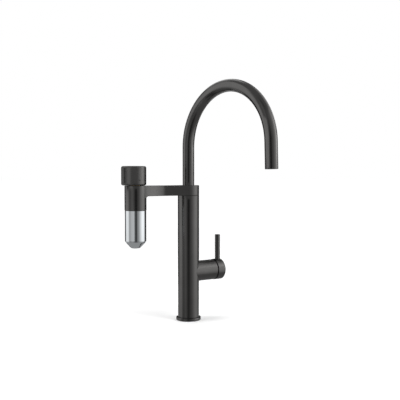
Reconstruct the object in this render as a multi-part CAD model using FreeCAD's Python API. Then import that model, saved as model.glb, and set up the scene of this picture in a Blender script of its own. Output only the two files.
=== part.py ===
"""Filtered water kitchen tap: side lever mixer, swan-neck spout and a filter capsule on a side arm.

Millimetres, +Z up. The origin is on the fixing stud's axis at the deck. The filter arm runs along -X,
the mixer lever is at +X and the spout reaches over the sink towards -Y.
"""
import FreeCAD, Part
import math
import os

Vec = FreeCAD.Vector

# Clearances, all radial or face to face, and the tolerance for picking edges
FIT = 0.05
RUN = 0.08
FREE = 0.3
TINY = 1e-4

# Column and base
COLUMN_OD = 42.0
COLUMN_WALL = 2.5
COLUMN_TOP = 247.1
COLUMN_BEVEL = 0.5
FLANGE_OD = 49.0
FLANGE_HEIGHT = 6.0
FLANGE_EDGE = 1.4
FLANGE_SPIGOT = 12.0
SEAL_WIDTH = 3.4
SEAL_DEPTH = 2.5
SEAL_LAND = 1.0

# Inlet block with its threads at tapping size: M8 stud, M10 x 1 hoses
INLET_OD = 30.6
INLET_SHOULDER = 6.0
STUD_TAP_R = 3.4
STUD_DEPTH = 14.0
HOSE_TAP_R = 4.5
HOSE_DEPTH = 12.0
HOSE_SPACING = 18.8

# Pipes inside the column
PIPE_WALL = 1.0
PIPE_SEAT = 6.0
FEED_OD = 8.0
RISER_OD = 12.0
FILTER_FEED_OD = 6.0
FILTER_FEED_X = -13.8
CHANNEL_Y = 4.5
CHANNEL_R = 2.2

# Mixer barrel and valve body
BARREL_Z = 95.4
BARREL_OD = 40.6
BARREL_WALL = 2.3
BARREL_END = 58.6
BARREL_EDGE = 0.8
VALVE_HALF_HEIGHT = 27.0
TAKEOFF_RISE = 15.0
PORT_R = 2.5
PORT_SPREAD = 7.5
PORT_RISE = 7.0

# Mixer cartridge, distances along +X from the column axis
HOLDER_START = 8.2
HOLDER_FLOOR = 2.0
HOLDER_WALL = 1.5
HOLDER_END = 52.0
HOLDER_RIM = 5.0
CARTRIDGE_OD = 28.0
CARTRIDGE_BASE = 3.5
PORT_SEAL_HEIGHT = 1.2
PORT_SEAL_WALL = 1.1
DISC_THICK = 4.0
HOUSING_WALL = 1.8
HOUSING_LIP = 2.0
HOUSING_MOUTH_R = 9.0
HOUSING_END = 47.0
NUT_LENGTH = 4.0
NUT_MOUTH_R = 10.0
NUT_SLOT = 3.0
MOVING_DISC_R = 9.2

# Lever mechanism
PIVOT_X = 38.0
FLOW_TILT = 20.0
CROSS_PIN_R = 1.5
CROSS_PIN_HALF = 11.4
STEM_SIDE = 7.0
STEM_TAIL = 4.5
STEM_NECK_R = 1.5
STEM_BALL_R = 2.2
STEM_GRIP = 5.4
GUIDE_SLOT_HALF = 7.2

# Handle
GROOVE = 2.0
CAP_OD = 41.8
CAP_LENGTH = 17.6
CAP_WALL = 2.0
CAP_HOLLOW = 4.4
CAP_EDGE = 2.4
RING_GAP = 0.5
RING_STEP = 0.5
RING_WALL = 1.4
RING_SPIGOT = 2.5
LEVER_OD = 10.4
LEVER_X = 71.4
LEVER_TOP = 166.0
LEVER_EDGE = 0.8
LEVER_SEAT = 7.0
HANDLE_SCREW_R = 2.0
HANDLE_SCREW_LENGTH = 9.0
HANDLE_SCREW_KEY = 1.0

# Filter arm
ARM_LENGTH = 119.5
ARM_THICK = 20.0
ARM_WAIST = 17.0
ARM_WAIST_AT = 66.0
ARM_EDGE = 0.8
ARM_COVE = 4.2
ARM_SPIGOT = 38.0
ARM_SPIGOT_FLOOR = 8.0
HEAD_OD = 41.0
HEAD_HEIGHT = 46.4
HEAD_EDGE = 0.5
LOCK_SCREW_R = 2.0
LOCK_SCREW_LENGTH = 6.0
LOCK_SCREW_DROP = 5.0

# Spout
SPOUT_OD = 23.0
SPOUT_WALL = 1.8
SPOUT_BEND = 110.0
SPOUT_STEM = 74.4
SPOUT_LEG = 47.9
SPOUT_LEAN = 1.8
SPOUT_ENTRY = 2.5
SPOUT_EDGE = 0.5
AHEAD_ANGLE = -90.0
SPOUT_REST_ANGLE = 6.2
SWIVEL_HALF_ANGLE = 90.0

# Spout bearing
TAIL_OD = 17.2
TAIL_LENGTH = 45.0
TAIL_PLUG = 16.0
TAIL_COLLAR = 2.0
TAIL_BORE_R = 5.5
TAIL_BORE_LENGTH = 32.0
BYPASS_R = 1.6
BYPASS_COUNT = 4
CROSS_HOLE_R = 1.3
BUSH_WALL = 1.9
BUSH_LENGTH = 12.0
BUSH_FLANGE = 1.5
O_RING = 1.2
GALLERY_HALF = 1.6
STOP_PIN_R = 1.5
STOP_PIN_ANGLE = 90.0
STOP_PIN_DROP = 11.5
STOP_GROOVE = 1.7

# Filtered water tube and aerator in the spout
FILTERED_OD = 6.0
AERATOR_RECESS = 0.6
AERATOR_LENGTH = 13.4
AERATOR_DECK = 3.0
AERATOR_WALL = 1.2
AERATOR_SEAL = 1.5
SCREEN_THICK = 2.0
SCREEN_HOLE_R = 0.55
SCREEN_RINGS = 3
SCREEN_FIRST_COUNT = 18
SCREEN_ADDED_COUNT = 6

# Filter valve headwork
HEADWORK_OD = 18.0
HEADWORK_POCKET = 16.6
HEADWORK_SEAL = 2.5
HEADWORK_WALL = 1.9
HEADWORK_DISC = 2.4
HEADWORK_PROUD = 0.2
SPINDLE_OD = 7.84
SPINDLE_FLANGE = 1.6
SPINDLE_TOP = 18.4

# Filter knob
KNOB_GAP = 0.5
KNOB_OD = 46.8
KNOB_HEIGHT = 36.1
KNOB_OFFSET = 3.6
KNOB_WALL = 3.6
KNOB_TOP = 3.0
KNOB_TOP_EDGE = 3.4
KNOB_LOW_EDGE = 3.4
KNOB_BASE = 3.0
INSERT_OD = 18.0
INSERT_DECK = 2.0
KNOB_SCREW_R = 2.0
KNOB_SCREW_HEAD_R = 3.6
KNOB_SCREW_HEAD = 2.5
KNOB_SCREW_LENGTH = 11.0
BOARD_OD = 36.0
BOARD_THICK = 1.2
CELL_OD = 20.0
CELL_THICK = 3.2
LENS_R = 1.5
LENS_RISE = 9.9
LENS_REACH = 4.5

# Filter capsule
CUP_OD = 40.0
CUP_WALL = 1.2
CUP_LENGTH = 70.4
CUP_CONE = 12.0
CUP_FLAT_R = 8.5
CUP_ROUND = 2.0
CUP_SHOULDER = 7.0
CUP_GAP = 0.4
THREAD_R = 17.1
THREAD_LENGTH = 15.0
COLLAR_WALL = 1.9
COLLAR_SEAT = 15.6
CAPSULE_SEAL = 1.0

# Filter insert
INSERT_CAP_R = 14.9
INSERT_CAP = 5.0
INSERT_CAP_DROP = 5.0
NOZZLE_R = 5.9
NOZZLE_BORE_R = 3.5
NOZZLE_LENGTH = 14.0
NOZZLE_SEAL_AT = 9.0
FLEECE = 1.0
CARBON_R = 13.4
CARBON_BORE_R = 5.0
INSERT_FOOT_R = 6.0
INSERT_FOOT = 10.3
INSERT_SOLE = 4.0

# Worked out: base and column
COLUMN_R = COLUMN_OD / 2
COLUMN_IN_R = COLUMN_R - COLUMN_WALL
CORE_R = COLUMN_IN_R - FIT
FLANGE_R = FLANGE_OD / 2
SPIGOT_TOP = FLANGE_HEIGHT + FLANGE_SPIGOT
SEAL_OUT_R = FLANGE_R - FLANGE_EDGE - SEAL_LAND
SEAL_IN_R = SEAL_OUT_R - SEAL_WIDTH
INLET_R = INLET_OD / 2
INLET_TOP = SPIGOT_TOP + INLET_SHOULDER
FEED_R = FEED_OD / 2
FEED_Y = HOSE_SPACING / 2
RISER_R = RISER_OD / 2
FILTER_FEED_R = FILTER_FEED_OD / 2

# Worked out: mixer
BARREL_R = BARREL_OD / 2
BARREL_IN_R = BARREL_R - BARREL_WALL
VALVE_LOW = BARREL_Z - VALVE_HALF_HEIGHT
VALVE_TOP = BARREL_Z + VALVE_HALF_HEIGHT
CARTRIDGE_R = CARTRIDGE_OD / 2
HOLDER_BORE_R = CARTRIDGE_R + FIT
HOLDER_R = HOLDER_BORE_R + HOLDER_WALL
BASE_START = HOLDER_START + HOLDER_FLOOR
FIXED_START = BASE_START + CARTRIDGE_BASE
MOVING_START = FIXED_START + DISC_THICK
CARRIER_START = MOVING_START + DISC_THICK
CARRIER_END = CARRIER_START + 2 * (STEM_BALL_R + FREE)
HOUSING_IN_R = CARTRIDGE_R - HOUSING_WALL
LIP_START = HOUSING_END - HOUSING_LIP
GUIDE_START = CARRIER_END + FREE
GUIDE_END = LIP_START - FREE
BALL_X = (CARRIER_START + CARRIER_END) / 2
BALL_ARM = PIVOT_X - BALL_X
DISC_TRAVEL = BALL_ARM * math.sin(math.radians(FLOW_TILT))
DISC_REST_Z = BARREL_Z - DISC_TRAVEL / 2
CAP_START = BARREL_END + GROOVE
CAP_END = CAP_START + CAP_LENGTH
CAP_FLOOR = CAP_START + CAP_HOLLOW
CAP_R = CAP_OD / 2
CAP_IN_R = CAP_R - CAP_WALL
RING_IN_R = CAP_IN_R - RING_WALL
SWING_R = math.hypot(BARREL_END - PIVOT_X, BARREL_R) + FREE
STEM_END = CAP_FLOOR + STEM_GRIP
STEM_HALF = STEM_SIDE / 2
LEVER_R = LEVER_OD / 2
LEVER_LOW = BARREL_Z + CAP_R - LEVER_SEAT
HANDLE_SCREW_X = CAP_FLOOR + STEM_GRIP / 2
CARTRIDGE_PORTS = (
    (PORT_SPREAD, BARREL_Z),
    (-PORT_SPREAD, BARREL_Z),
    (0.0, BARREL_Z + PORT_RISE),
)

# Worked out: filter arm
HUB_TOP = COLUMN_TOP + ARM_THICK
ARM_MID = COLUMN_TOP + ARM_THICK / 2
ARM_LOW = COLUMN_TOP - ARM_SPIGOT
WELL_FLOOR = ARM_LOW + ARM_SPIGOT_FLOOR
FILTER_X = -ARM_LENGTH
HEAD_R = HEAD_OD / 2
HEAD_LOW = HUB_TOP - HEAD_HEIGHT
SOCKET_R = THREAD_R + RUN
SOCKET_TOP = HEAD_LOW + THREAD_LENGTH + CAPSULE_SEAL
LOCK_SCREW_Z = COLUMN_TOP - LOCK_SCREW_DROP

# Worked out: spout and its bearing
SPOUT_R = SPOUT_OD / 2
SPOUT_IN_R = SPOUT_R - SPOUT_WALL
SPOUT_LOW = HUB_TOP - SPOUT_ENTRY
BEND_Z = HUB_TOP + SPOUT_STEM
SPOUT_REACH = 2 * SPOUT_BEND
OUTLET_Z = BEND_Z - SPOUT_LEG
COLLAR_LOW = SPOUT_LOW - TAIL_COLLAR
TAIL_R = TAIL_OD / 2
TAIL_LOW = COLLAR_LOW - TAIL_LENGTH
TAIL_TOP = SPOUT_LOW + TAIL_PLUG
BUSH_IN_R = TAIL_R + RUN
BUSH_R = BUSH_IN_R + BUSH_WALL
WELL_R = BUSH_R + FIT
BUSH_SEAT = COLLAR_LOW - BUSH_FLANGE
MOUTH_R = SPOUT_R + FREE
O_RING_GROOVE_R = TAIL_R - O_RING
O_RING_ZS = (WELL_FLOOR + BUSH_LENGTH / 2, ARM_MID - 2 * O_RING - GALLERY_HALF / 2,
             ARM_MID + 2 * O_RING + GALLERY_HALF / 2)
STOP_PIN_Z = COLUMN_TOP - STOP_PIN_DROP
FILTERED_R = FILTERED_OD / 2
FILTERED_SOCKET_R = FILTERED_R + FIT
FILTERED_LOW = ARM_MID + GALLERY_HALF
BYPASS_PITCH_R = (FILTERED_SOCKET_R + O_RING_GROOVE_R) / 2
AERATOR_LOW = OUTLET_Z + AERATOR_RECESS
AERATOR_TOP = AERATOR_LOW + AERATOR_LENGTH
AERATOR_R = SPOUT_IN_R - FIT
AERATOR_IN_R = AERATOR_R - AERATOR_WALL
NOZZLE_TUBE_R = FILTERED_SOCKET_R + AERATOR_WALL

# Worked out: headwork and knob
HEADWORK_R = HEADWORK_OD / 2
POCKET_FLOOR = HUB_TOP - HEADWORK_POCKET
HEADWORK_LOW = POCKET_FLOOR + HEADWORK_SEAL
CHAMBER_R = HEADWORK_R - HEADWORK_WALL
DISC_MEET = HEADWORK_LOW + HEADWORK_DISC
SPINDLE_LOW = DISC_MEET + HEADWORK_DISC
CHAMBER_TOP = SPINDLE_LOW + SPINDLE_FLANGE + RUN
SPINDLE_R = SPINDLE_OD / 2
SPINDLE_END = HUB_TOP + SPINDLE_TOP
KNOB_R = KNOB_OD / 2
KNOB_X = FILTER_X - KNOB_OFFSET
KNOB_LOW = HUB_TOP + KNOB_GAP
KNOB_END = KNOB_LOW + KNOB_HEIGHT
KNOB_IN_R = KNOB_R - KNOB_WALL
KNOB_FLOOR = KNOB_LOW + KNOB_BASE
INSERT_TOP = SPINDLE_END + FREE + KNOB_SCREW_HEAD + INSERT_DECK
DECK_LOW = INSERT_TOP - INSERT_DECK
SCREW_SEAT = INSERT_TOP - KNOB_SCREW_HEAD
LENS_Z = KNOB_LOW + LENS_RISE

# Worked out: capsule
CUP_R = CUP_OD / 2
CUP_IN_R = CUP_R - CUP_WALL
CUP_RIM = HEAD_LOW - CUP_GAP
CUP_LOW = CUP_RIM - CUP_LENGTH
CUP_FLOOR = CUP_LOW + CUP_WALL
COLLAR_IN_R = THREAD_R - COLLAR_WALL
COLLAR_TOP = HEAD_LOW + THREAD_LENGTH
INSERT_CAP_TOP = COLLAR_TOP - INSERT_CAP_DROP
CARBON_TOP = INSERT_CAP_TOP - INSERT_CAP
SOLE_LOW = CUP_FLOOR + INSERT_FOOT
CARBON_LOW = SOLE_LOW + INSERT_SOLE
NOZZLE_TOP = INSERT_CAP_TOP + NOZZLE_LENGTH
NOZZLE_SOCKET_R = NOZZLE_R + 2 * RUN
NOZZLE_SOCKET_TOP = NOZZLE_TOP + FREE
NOZZLE_SEAL_Z = INSERT_CAP_TOP + NOZZLE_SEAL_AT


def rod(radius, low, high, x=0.0, y=0.0):
    """Upright cylinder between two heights."""
    return Part.makeCylinder(radius, high - low, Vec(x, y, low))


def ring(outer, inner, low, high, x=0.0, y=0.0):
    """Upright tube between two heights."""
    return rod(outer, low, high, x, y).cut(rod(inner, low, high, x, y))


def rod_x(radius, start, end, y=0.0, z=BARREL_Z):
    """Cylinder along +X, on the mixer barrel's axis unless told otherwise."""
    return Part.makeCylinder(radius, end - start, Vec(start, y, z), Vec(1, 0, 0))


def ring_x(outer, inner, start, end, y=0.0, z=BARREL_Z):
    """Tube along +X."""
    return rod_x(outer, start, end, y, z).cut(rod_x(inner, start, end, y, z))


def rod_y(radius, start, end, x, z):
    """Cylinder along +Y."""
    return Part.makeCylinder(radius, end - start, Vec(x, start, z), Vec(0, 1, 0))


def block(x_span, y_span, z_span):
    """Box given by its low and high value on each axis."""
    spans = (x_span, y_span, z_span)
    sizes = [high - low for low, high in spans]
    return Part.makeBox(*sizes, Vec(*[low for low, high in spans]))


def joined(shapes):
    """One solid from several that touch or overlap."""
    return shapes[0].multiFuse(shapes[1:]).removeSplitter()


def passage(radius, *points):
    """Drilled water way through a row of points, with a round end at each corner."""
    stops = [Vec(*point) for point in points]
    pieces = [Part.makeCylinder(radius, (b - a).Length, a, b - a) for a, b in zip(stops, stops[1:])]
    pieces += [Part.makeSphere(radius, corner) for corner in stops[1:-1]]
    return joined(pieces) if len(pieces) > 1 else pieces[0]


def o_ring(outer, section, z, x=0.0):
    """Round rubber ring lying level."""
    return Part.makeTorus(outer - section / 2, section / 2, Vec(x, 0, z))


def is_rim(radius, place=None, axis=Vec(0, 0, 1)):
    """Test for a circular edge of a radius about an axis, at one place along it or anywhere."""
    def test(edge):
        curve = edge.Curve
        if not isinstance(curve, Part.Circle) or abs(curve.Radius - radius) > TINY:
            return False
        if curve.Axis.cross(axis).Length > TINY:
            return False
        return place is None or abs(curve.Center.dot(axis) - place) < TINY
    return test


def rounded(shape, radius, test):
    """Fillet the edges that pass the test."""
    return shape.makeFillet(radius, [edge for edge in shape.Edges if test(edge)])


def bevelled(shape, size, test):
    """Chamfer the edges that pass the test."""
    return shape.makeChamfer(size, [edge for edge in shape.Edges if test(edge)])


def turned_to_rest(shape):
    """Swing a spout piece, drawn along +X, to where the spout stands at rest."""
    turned = shape.copy()
    turned.rotate(Vec(0, 0, 0), Vec(0, 0, 1), AHEAD_ANGLE + SPOUT_REST_ANGLE)
    return turned


# Base and inlets

def base_flange():
    plate = rounded(rod(FLANGE_R, 0, FLANGE_HEIGHT), FLANGE_EDGE, is_rim(FLANGE_R))
    flange = joined([plate, rod(CORE_R, FLANGE_HEIGHT, SPIGOT_TOP)])
    flange = flange.cut(rod(INLET_R + FIT, 0, SPIGOT_TOP))
    return flange.cut(ring(SEAL_OUT_R + FIT, SEAL_IN_R - FIT, 0, SEAL_DEPTH))


def deck_seal():
    return ring(SEAL_OUT_R, SEAL_IN_R, 0, SEAL_DEPTH)


def inlet_block():
    body = joined([rod(INLET_R, 0, INLET_TOP), rod(CORE_R, SPIGOT_TOP, INLET_TOP)])
    body = body.cut(rod(STUD_TAP_R, 0, STUD_DEPTH))
    for y in (FEED_Y, -FEED_Y):
        body = body.cut(rod(HOSE_TAP_R, 0, HOSE_DEPTH, 0, y))
        body = body.cut(rod(FEED_R - PIPE_WALL, 0, INLET_TOP, 0, y))
        body = body.cut(rod(FEED_R + FIT, INLET_TOP - PIPE_SEAT, INLET_TOP, 0, y))
    return body


def feed_pipe(side):
    low, high = INLET_TOP - PIPE_SEAT, VALVE_LOW + PIPE_SEAT
    return ring(FEED_R, FEED_R - PIPE_WALL, low, high, 0, side * FEED_Y)


# Column and mixer body

def column_tube():
    tube = ring(COLUMN_R, COLUMN_IN_R, FLANGE_HEIGHT, COLUMN_TOP)
    tube = bevelled(tube, COLUMN_BEVEL, is_rim(COLUMN_R))
    tube = tube.cut(rod_x(HOLDER_R + FIT, 0, COLUMN_OD))
    return tube.cut(rod_y(LOCK_SCREW_R + FIT, 0, COLUMN_OD, 0, LOCK_SCREW_Z))


def barrel_sleeve():
    sleeve = ring_x(BARREL_R, BARREL_IN_R, 0, BARREL_END)
    sleeve = rounded(sleeve, BARREL_EDGE, is_rim(BARREL_R, BARREL_END, Vec(1, 0, 0)))
    return sleeve.cut(rod(COLUMN_R + FIT, BARREL_Z - BARREL_OD, BARREL_Z + BARREL_OD))


def valve_body():
    body = rod(CORE_R, VALVE_LOW, VALVE_TOP)
    body = body.cut(rod_x(HOLDER_R + FIT, HOLDER_START, COLUMN_R))
    way = FEED_R - PIPE_WALL
    for side in (1, -1):
        y = side * FEED_Y
        port = (HOLDER_START, side * PORT_SPREAD, BARREL_Z)
        body = body.cut(rod(FEED_R + FIT, VALVE_LOW, VALVE_LOW + PIPE_SEAT, 0, y))
        body = body.cut(passage(PORT_R, (0, y, BARREL_Z), port))
        body = body.cut(rod(way, VALVE_LOW, BARREL_Z, 0, y))
    takeoff = BARREL_Z + TAKEOFF_RISE
    cold, filter_side = (0, -FEED_Y), (FILTER_FEED_X, -CHANNEL_Y)
    body = body.cut(passage(CHANNEL_R, (*cold, BARREL_Z), (*cold, takeoff), (*filter_side, takeoff),
                            (*filter_side, VALVE_TOP)))
    body = body.cut(rod(FILTER_FEED_R + FIT, VALVE_TOP - PIPE_SEAT, VALVE_TOP, *filter_side))
    mixed = BARREL_Z + PORT_RISE
    body = body.cut(passage(PORT_R, (HOLDER_START, 0, mixed), (0, 0, mixed), (0, 0, VALVE_TOP)))
    return body.cut(rod(RISER_R + FIT, VALVE_TOP - PIPE_SEAT, VALVE_TOP))


def mixed_riser():
    return ring(RISER_R, RISER_R - PIPE_WALL, VALVE_TOP - PIPE_SEAT, ARM_LOW + PIPE_SEAT)


def filter_feed_pipe():
    low, high = VALVE_TOP - PIPE_SEAT, ARM_LOW + PIPE_SEAT
    return ring(FILTER_FEED_R, FILTER_FEED_R - PIPE_WALL, low, high, FILTER_FEED_X, -CHANNEL_Y)


# Mixer cartridge

def cartridge_holder():
    rim = rod_x(BARREL_IN_R - FIT, HOLDER_END - HOLDER_RIM, HOLDER_END)
    holder = joined([rod_x(HOLDER_R, HOLDER_START, HOLDER_END), rim])
    holder = holder.cut(rod_x(HOLDER_BORE_R, BASE_START, HOLDER_END))
    for y, z in CARTRIDGE_PORTS:
        holder = holder.cut(rod_x(PORT_R, HOLDER_START, BASE_START, y, z))
    return holder


def cartridge_base():
    base = rod_x(CARTRIDGE_R, BASE_START, FIXED_START)
    pocket_r = PORT_R + PORT_SEAL_WALL + FIT
    for y, z in CARTRIDGE_PORTS:
        base = base.cut(rod_x(PORT_R, BASE_START, FIXED_START, y, z))
        base = base.cut(rod_x(pocket_r, BASE_START, BASE_START + PORT_SEAL_HEIGHT, y, z))
    return base


def port_seals():
    end = BASE_START + PORT_SEAL_HEIGHT
    rings = [ring_x(PORT_R + PORT_SEAL_WALL, PORT_R, BASE_START, end, y, z) for y, z in CARTRIDGE_PORTS]
    return Part.makeCompound(rings)


def fixed_disc():
    disc = rod_x(HOUSING_IN_R - FIT, FIXED_START, MOVING_START)
    for y, z in CARTRIDGE_PORTS:
        disc = disc.cut(rod_x(PORT_R, FIXED_START, MOVING_START, y, z))
    return disc


def cartridge_housing():
    housing = rod_x(CARTRIDGE_R, FIXED_START, HOUSING_END)
    housing = housing.cut(rod_x(HOUSING_IN_R, FIXED_START, LIP_START))
    return housing.cut(rod_x(HOUSING_MOUTH_R, LIP_START, HOUSING_END))


def cartridge_nut():
    end = HOUSING_END + NUT_LENGTH
    nut = ring_x(CARTRIDGE_R, NUT_MOUTH_R, HOUSING_END, end)
    half, reach = NUT_SLOT / 2, CARTRIDGE_OD
    face = (end - NUT_LENGTH / 2, end)
    nut = nut.cut(block(face, (-half, half), (BARREL_Z - reach, BARREL_Z + reach)))
    return nut.cut(block(face, (-reach, reach), (BARREL_Z - half, BARREL_Z + half)))


def spindle_guide():
    guide = rod_x(HOUSING_IN_R - RUN, GUIDE_START, GUIDE_END)
    side = STEM_HALF + FREE
    slot_z = (BARREL_Z - GUIDE_SLOT_HALF, BARREL_Z + GUIDE_SLOT_HALF)
    guide = guide.cut(block((GUIDE_START, GUIDE_END), (-side, side), slot_z))
    return guide.cut(rod_y(CROSS_PIN_R + FIT / 2, -CARTRIDGE_OD, CARTRIDGE_OD, PIVOT_X, BARREL_Z))


def cross_pin():
    return rod_y(CROSS_PIN_R, -CROSS_PIN_HALF, CROSS_PIN_HALF, PIVOT_X, BARREL_Z)


def moving_disc():
    disc = rod_x(MOVING_DISC_R, MOVING_START, CARRIER_START, 0, DISC_REST_Z)
    chamber_end = MOVING_START + DISC_THICK / 2
    return disc.cut(rod_x(MOVING_DISC_R / 2, MOVING_START, chamber_end, 0, DISC_REST_Z))


def disc_carrier():
    carrier = rod_x(MOVING_DISC_R, CARRIER_START, CARRIER_END, 0, DISC_REST_Z)
    return carrier.cut(rod_x(STEM_BALL_R + FREE, CARRIER_START, CARRIER_END))


# Lever and handle

def lever_stem():
    flats = (-STEM_HALF, STEM_HALF)
    bar = block((PIVOT_X - STEM_TAIL, STEM_END), flats, (BARREL_Z - STEM_HALF, BARREL_Z + STEM_HALF))
    neck = rod_x(STEM_NECK_R, BALL_X, PIVOT_X)
    ball = Part.makeSphere(STEM_BALL_R, Vec(BALL_X, 0, BARREL_Z))
    stem = joined([bar, neck, ball])
    return stem.cut(rod_y(CROSS_PIN_R + FIT, -STEM_SIDE, STEM_SIDE, PIVOT_X, BARREL_Z))


def handle_cap():
    cap = rod_x(CAP_R, CAP_START, CAP_END)
    cap = rounded(cap, CAP_EDGE, is_rim(CAP_R, CAP_END, Vec(1, 0, 0)))
    cap = cap.cut(rod_x(CAP_IN_R, CAP_START, CAP_FLOOR))
    half = STEM_HALF + FIT
    cap = cap.cut(block((CAP_FLOOR, STEM_END + FIT), (-half, half), (BARREL_Z - half, BARREL_Z + half)))
    cap = cap.cut(rod(LEVER_R + FIT, LEVER_LOW, BARREL_Z + CAP_OD, LEVER_X))
    return cap.cut(rod(HANDLE_SCREW_R + FIT, BARREL_Z - CAP_OD, BARREL_Z, HANDLE_SCREW_X))


def handle_ring():
    """Dark ring in the cap's mouth, dished about the lever's pivot to swing clear of the barrel's rim."""
    lip = ring_x(CAP_R - RING_STEP, RING_IN_R, BARREL_END + RING_GAP, CAP_START)
    spigot = ring_x(CAP_IN_R - FIT, RING_IN_R, CAP_START, CAP_START + RING_SPIGOT)
    return joined([lip, spigot]).cut(Part.makeSphere(SWING_R, Vec(PIVOT_X, 0, BARREL_Z)))


def lever_rod():
    return rounded(rod(LEVER_R, LEVER_LOW, LEVER_TOP, LEVER_X), LEVER_EDGE, is_rim(LEVER_R, LEVER_TOP))


def handle_screw():
    top = BARREL_Z - STEM_HALF
    low = top - HANDLE_SCREW_LENGTH
    screw = rod(HANDLE_SCREW_R, low, top, HANDLE_SCREW_X)
    return screw.cut(rod(HANDLE_SCREW_KEY, low, low + HANDLE_SCREW_R, HANDLE_SCREW_X))


# Filter arm, one casting from the column's top to the capsule head

def arm_plan():
    """Outline seen from above: two round ends and a waist drawn in between them by tangent arcs."""
    waist = ARM_WAIST / 2
    ends = ((0.0, COLUMN_R, ARM_WAIST_AT), (FILTER_X, HEAD_R, ARM_LENGTH - ARM_WAIST_AT))
    waist_x = -ARM_WAIST_AT
    blend = [(run ** 2 + waist ** 2 - r ** 2) / (2 * (r - waist)) for x, r, run in ends]
    touch = []
    for (x, r, run), bend in zip(ends, blend):
        share = r / (r + bend)
        touch.append((x + (waist_x - x) * share, (waist + bend) * share))
    middles = []
    for (x, y), bend in zip(touch, blend):
        centre = Vec(waist_x, waist + bend, 0)
        toward = Vec((x + waist_x) / 2, (y + waist) / 2, 0) - centre
        middles.append(centre + toward.normalize() * bend)
    edges = []
    for side in (1, -1):
        low = Vec(waist_x, side * waist, 0)
        for (x, y), middle in zip(touch, middles):
            edges.append(Part.Arc(Vec(x, side * y, 0), Vec(middle.x, side * middle.y, 0), low).toShape())
    for (x, r, run), (tx, ty), out in zip(ends, touch, (1, -1)):
        edges.append(Part.Arc(Vec(tx, ty, 0), Vec(x + out * r, 0, 0), Vec(tx, -ty, 0)).toShape())
    return Part.Face(Part.Wire(Part.__sortEdges__(edges)))


def arm_body():
    """The arm's plate with soft edges, the head below one end and the spigot below the other."""
    plan = arm_plan()
    plan.translate(Vec(0, 0, COLUMN_TOP))
    plate = plan.extrude(Vec(0, 0, ARM_THICK))
    level = [edge for edge in plate.Edges if abs(edge.BoundBox.ZLength) < TINY]
    plate = plate.makeFillet(ARM_EDGE, level)
    head = bevelled(rod(HEAD_R, HEAD_LOW, ARM_MID, FILTER_X), HEAD_EDGE, is_rim(HEAD_R, HEAD_LOW))
    cove_r = HEAD_R + ARM_COVE
    cove = ring(cove_r, HEAD_R - ARM_COVE, COLUMN_TOP - ARM_COVE, COLUMN_TOP + ARM_EDGE, FILTER_X)
    cove = cove.cut(Part.makeTorus(cove_r, ARM_COVE, Vec(FILTER_X, 0, COLUMN_TOP - ARM_COVE)))
    under_arm = arm_plan()
    under_arm.translate(Vec(0, 0, COLUMN_TOP - ARM_COVE))
    cove = cove.common(under_arm.extrude(Vec(0, 0, ARM_COVE + ARM_EDGE)))
    spigot = rod(CORE_R, ARM_LOW, ARM_MID)
    return joined([plate, head, cove, spigot])


def filter_arm():
    arm = arm_body()
    arm = arm.cut(rod(WELL_R, WELL_FLOOR, HUB_TOP))
    arm = arm.cut(rod(MOUTH_R, BUSH_SEAT, HUB_TOP))
    arm = arm.cut(rod(RISER_R + FIT, ARM_LOW, ARM_LOW + PIPE_SEAT))
    arm = arm.cut(rod(RISER_R - PIPE_WALL, ARM_LOW, WELL_FLOOR))
    arm = arm.cut(rod(FILTER_FEED_R + FIT, ARM_LOW, ARM_LOW + PIPE_SEAT, FILTER_FEED_X, -CHANNEL_Y))
    arm = arm.cut(rod(SOCKET_R, HEAD_LOW, SOCKET_TOP, FILTER_X))
    arm = arm.cut(rod(NOZZLE_SOCKET_R, SOCKET_TOP, NOZZLE_SOCKET_TOP, FILTER_X))
    arm = arm.cut(rod(HEADWORK_R + FIT, POCKET_FLOOR, HUB_TOP, FILTER_X))
    feed = passage(CHANNEL_R, (FILTER_FEED_X, -CHANNEL_Y, ARM_LOW), (FILTER_FEED_X, -CHANNEL_Y, ARM_MID),
                   (FILTER_X, -CHANNEL_Y, ARM_MID))
    turn_x = FILTER_X + HEADWORK_R + 2 * CHANNEL_R
    nozzle_z = NOZZLE_SOCKET_TOP - CHANNEL_R - FREE
    back = passage(CHANNEL_R, (FILTER_X, CHANNEL_Y, nozzle_z), (turn_x, CHANNEL_Y, nozzle_z),
                   (turn_x, CHANNEL_Y, ARM_MID), (0, CHANNEL_Y, ARM_MID))
    drop_x = FILTER_X - (NOZZLE_SOCKET_R + HEADWORK_R) / 2
    drop = rod(CHANNEL_R / 2, SOCKET_TOP, POCKET_FLOOR, drop_x)
    arm = arm.cut(feed).cut(back).cut(drop)
    arm = arm.cut(rod_y(STOP_PIN_R + FIT / 2, 0, COLUMN_R, 0, STOP_PIN_Z))
    return arm.cut(rod_y(LOCK_SCREW_R + FIT, COLUMN_R - LOCK_SCREW_LENGTH, COLUMN_R, 0, LOCK_SCREW_Z))


def arm_lock_screw():
    end = COLUMN_R - COLUMN_BEVEL
    screw = rod_y(LOCK_SCREW_R, COLUMN_R - LOCK_SCREW_LENGTH, end, 0, LOCK_SCREW_Z)
    return screw.cut(rod_y(LOCK_SCREW_R / 2, end - LOCK_SCREW_R, end, 0, LOCK_SCREW_Z))


# Spout bearing in the arm's hub

def lower_bush():
    return ring(BUSH_R, BUSH_IN_R, WELL_FLOOR, WELL_FLOOR + BUSH_LENGTH)


def upper_bush():
    flange = rod(MOUTH_R - FIT, BUSH_SEAT, COLLAR_LOW)
    bush = joined([rod(BUSH_R, COLUMN_TOP, COLLAR_LOW), flange])
    bush = bush.cut(rod(BUSH_IN_R, COLUMN_TOP, COLLAR_LOW))
    window = passage(CHANNEL_R, (-MOUTH_R, CHANNEL_Y, ARM_MID), (0, CHANNEL_Y, ARM_MID))
    return bush.cut(window)


def swivel_stop_pin():
    return rod_y(STOP_PIN_R, TAIL_R - STOP_GROOVE + FREE, CORE_R - FREE, 0, STOP_PIN_Z)


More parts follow.
